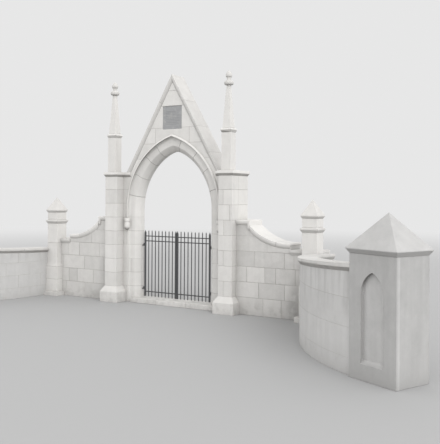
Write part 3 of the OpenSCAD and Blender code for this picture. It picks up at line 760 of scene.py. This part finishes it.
def radial(way, angle):
    """An upright plane through the axis the curved wall is struck from."""
    turn = radians(angle)
    return (Vector((way * CURVE_CENTRE.x, CURVE_CENTRE.y, 0)), Vector((way * sin(turn), -cos(turn), 0)))


def curved_wall(side):
    """Render lined out as stones in long courses."""
    way = way_of(side)
    length = CURVE_LENGTHS[side]
    joints = []
    for number in range(len(CURVE_BEDS[side]) + 1):
        start = length * FIRST_LINES[number % 2]
        angles = [start + length * i for i in range(LINES_A_COURSE)]
        joints.append([radial(way, angle) for angle in angles if angle < LAST_LINE])
    node = side + "_curved_wall"
    stones = lay(node, CURVE_BEDS[side], joints)
    masonry(side + "_curved_wall_face", node, stones, RENDER, RENDER_LINE,
            chamfer=0.0025)


def coping_top(side, place):
    """Height of a curved coping's top over a place, rising evenly along the chord of the curve."""
    low, high = CURVE_TOPS[side]
    start = CURVE_CENTRE - X * CURVE_RADIUS
    lean = radians(CURVE_ANGLE / 2)
    along = (place - start).dot(Vector((sin(lean), -cos(lean), 0)))
    return low + (high - low) * along / (2 * CURVE_RADIUS * sin(lean))


def curved_splay(side, tip, foot, lead=0.0):
    """The splay under a lip of a curved coping, out to the radius tip and in to the radius foot."""
    way = way_of(side)
    inside = SPLAY_LAP if tip < foot else -SPLAY_LAP
    section = ((tip, COPING_THICK), (foot + inside / 2, SPLAY_DROP),
               (foot + inside, COPING_THICK - SPLAY_RISE))
    whole_turn = CURVE_ANGLE + 2 * SPLAY_PAST
    turns = [-SPLAY_PAST + whole_turn * i / SPLAY_PARTS for i in range(SPLAY_PARTS + 1)]
    places = [(turn, 0.0) for turn in turns if turn >= 0 or not lead]
    if lead:
        places.insert(0, (0.0, lead))
    rings = []
    for turn, onward in places:
        spoke = Vector((-cos(radians(turn)), -sin(radians(turn)), 0))
        ring = []
        for radius, drop in section:
            place = CURVE_CENTRE + spoke * radius + Y * onward
            ring.append((way * place.x, place.y, coping_top(side, place) - drop))
        rings.append(ring)
    return swept(rings)


def curved_coping(side):
    """Coping stones with a splay under the front lip and the back lip."""
    way = way_of(side)
    back = CURVE_RADIUS - CURVE_THICK
    node = side + "_curved_coping"
    whole = [solid_of(node),
             curved_splay(side, CURVE_RADIUS + FRONT_LIP, CURVE_RADIUS),
             curved_splay(side, back - BACK_LIP, back, lead=BACK_LEAD)]
    stones = split(whole, [radial(way, angle) for angle in COPING_JOINTS])
    masonry(side + "_curved_coping_stones", node, stones, DRESSED, MORTAR, chamfer=0.005)


# CAD nodes that stay: material, width of the eased edges, and nodes

CARRIED = (
    (PALE, 0.006, ("hood_mould_left", "hood_mould_right", "pier_slabs", "pinnacle_cornices")),
    (TURNED, 0.006, ("step_copings", "string_courses", "outer_pier_caps")),
    (CAP_RENDER, 0.008, ("end_pier_caps",)),
    (ASHLAR, 0.006, ("pier_plinths", "pinnacle_shafts", "pinnacle_spires")),
    (PIER_RENDER, 0.004, ("left_end_pier", "right_end_pier")),
    (SLATE, 0.002, ("gable_plaque",)),
    (IRON, 0.0015, ("hinge_hooks", "left_gate_stiles", "left_gate_rails", "left_gate_bars",
                    "right_gate_stiles", "right_gate_rails", "right_gate_bars")),
)


def carry(node, material, chamfer):
    """Gives a CAD node eased edges and its own material."""
    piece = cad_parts[node]
    piece.data.materials.clear()
    piece.data.materials.append(material)
    weld = piece.modifiers.new("weld", "WELD")
    weld.merge_threshold = WELD
    ease = piece.modifiers.new("eased_edges", "BEVEL")
    ease.width = chamfer
    ease.segments = 2
    ease.limit_method = "ANGLE"
    ease.angle_limit = ARRIS_ANGLE
    ease.harden_normals = True


# Camera, light and floor

# The picture in pixels, its horizon measured from the top, and the focal length in pixels
PICTURE_WIDTH = 440
PICTURE_HEIGHT = 444
HORIZON_PIXEL = 195.57
FOCAL_PIXELS = 674.7
SENSOR = 36.0
CAMERA_PLACE = (8.289, -11.831, 2.364)
# Degrees
CAMERA_HEADING = 30.92
CAMERA_ROLL = 0.343
CAMERA_REACH = 500

BACKDROP = 0.80
FLOOR_VALUE = 0.41
FLOOR_REACH = 150.0
# The floor fades into the backdrop between these distances from the origin
FLOOR_FADE = (9.0, 36.0)
SKY_LOW = 1.65
SKY_HIGH = 0.90
SUN_STRENGTH = 1.23
SUN_ANGLE = 45
SUN_TOWARDS = (0.716, -0.445, 0.537)


def set_camera():
    data = bpy.data.cameras.new("camera")
    data.sensor_fit = "HORIZONTAL"
    data.sensor_width = SENSOR
    data.lens = FOCAL_PIXELS * SENSOR / PICTURE_WIDTH
    data.shift_y = (HORIZON_PIXEL - PICTURE_HEIGHT / 2) / PICTURE_WIDTH
    data.clip_end = CAMERA_REACH
    camera = bpy.data.objects.new("camera", data)
    bpy.context.scene.collection.objects.link(camera)
    camera.matrix_world = (Matrix.Translation(CAMERA_PLACE) @ Matrix.Rotation(radians(CAMERA_HEADING), 4, "Z")
                           @ Matrix.Rotation(radians(90), 4, "X")
                           @ Matrix.Rotation(radians(CAMERA_ROLL), 4, "Z"))
    bpy.context.scene.camera = camera


def seen_only(tree, shown, lit):
    """Shows one shader to the camera and reflections, and the other to everything else."""
    path = tree.nodes.new("ShaderNodeLightPath")
    seen = path.outputs["Is Camera Ray"]
    for ray in ("Is Glossy Ray", "Is Transmission Ray"):
        either = tree.nodes.new("ShaderNodeMath")
        either.operation = "MAXIMUM"
        tree.links.new(seen, either.inputs[0])
        tree.links.new(path.outputs[ray], either.inputs[1])
        seen = either.outputs[0]
    mix = tree.nodes.new("ShaderNodeMixShader")
    tree.links.new(seen, mix.inputs[0])
    tree.links.new(lit, mix.inputs[1])
    tree.links.new(shown, mix.inputs[2])
    return mix.outputs[0]


def set_world():
    """An even sky, brighter low down, behind a plain pale backdrop."""
    world = bpy.data.worlds.new("studio")
    bpy.context.scene.world = world
    world.use_nodes = True
    tree = world.node_tree
    light = tree.nodes["Background"]
    light.inputs["Color"].default_value = grey(1.0)
    height = tree.nodes.new("ShaderNodeSeparateXYZ")
    tree.links.new(tree.nodes.new("ShaderNodeTexCoord").outputs["Generated"], height.inputs[0])
    level = tree.nodes.new("ShaderNodeMapRange")
    tree.links.new(height.outputs[2], level.inputs["Value"])
    level.inputs["To Min"].default_value = SKY_LOW
    level.inputs["To Max"].default_value = SKY_HIGH
    tree.links.new(level.outputs[0], light.inputs["Strength"])
    backdrop = tree.nodes.new("ShaderNodeBackground")
    backdrop.inputs["Color"].default_value = grey(BACKDROP)
    out = seen_only(tree, backdrop.outputs[0], light.outputs[0])
    tree.links.new(out, tree.nodes["World Output"].inputs["Surface"])


def set_sun():
    data = bpy.data.lights.new("soft_sun", "SUN")
    data.energy = SUN_STRENGTH
    data.angle = radians(SUN_ANGLE)
    sun = bpy.data.objects.new("soft_sun", data)
    bpy.context.scene.collection.objects.link(sun)
    sun.rotation_mode = "QUATERNION"
    sun.rotation_quaternion = Vector(SUN_TOWARDS).to_track_quat("Z", "Y")


def floor_material():
    """Plain and pale, and fading into the backdrop far away."""
    s = Shader("floor")
    far = s.node("VectorMath", {0: s.place()}, operation="LENGTH").outputs["Value"]
    fade = s.spread(far, *FLOOR_FADE)
    s.finish(Base_Color=grey(FLOOR_VALUE), Roughness=0.95, Specular_IOR_Level=0.1)
    glow = s.node("Emission", {"Color": grey(BACKDROP)}).outputs[0]
    faded = s.node("MixShader", {0: fade, 1: s.bsdf.outputs[0], 2: glow}).outputs[0]
    shown = seen_only(s.tree, faded, s.bsdf.outputs[0])
    s.tree.links.new(shown, s.tree.nodes["Material Output"].inputs["Surface"])
    return s.material


def set_floor():
    reach = FLOOR_REACH
    corners = [(-reach, -reach, 0), (reach, -reach, 0), (reach, reach, 0), (-reach, reach, 0)]
    mesh = bpy.data.meshes.new("floor")
    mesh.from_pydata(corners, [], [(0, 1, 2, 3)])
    mesh.materials.append(floor_material())
    floor = bpy.data.objects.new("floor", mesh)
    bpy.context.scene.collection.objects.link(floor)


bpy.context.scene.view_settings.view_transform = "Standard"
set_camera()
set_world()
set_sun()
set_floor()

for side in ("left", "right"):
    gate_pier(side)
    gable_coping(side)
    wing(side)
    wing_coping(side)
    outer_pier(side)
    curved_wall(side)
    curved_coping(side)
arch_ring("left")
arch_ring("right")
gable()
finials()
hood_drops()
threshold()
for material, chamfer, nodes in CARRIED:
    for node in nodes:
        carry(node, material, chamfer)
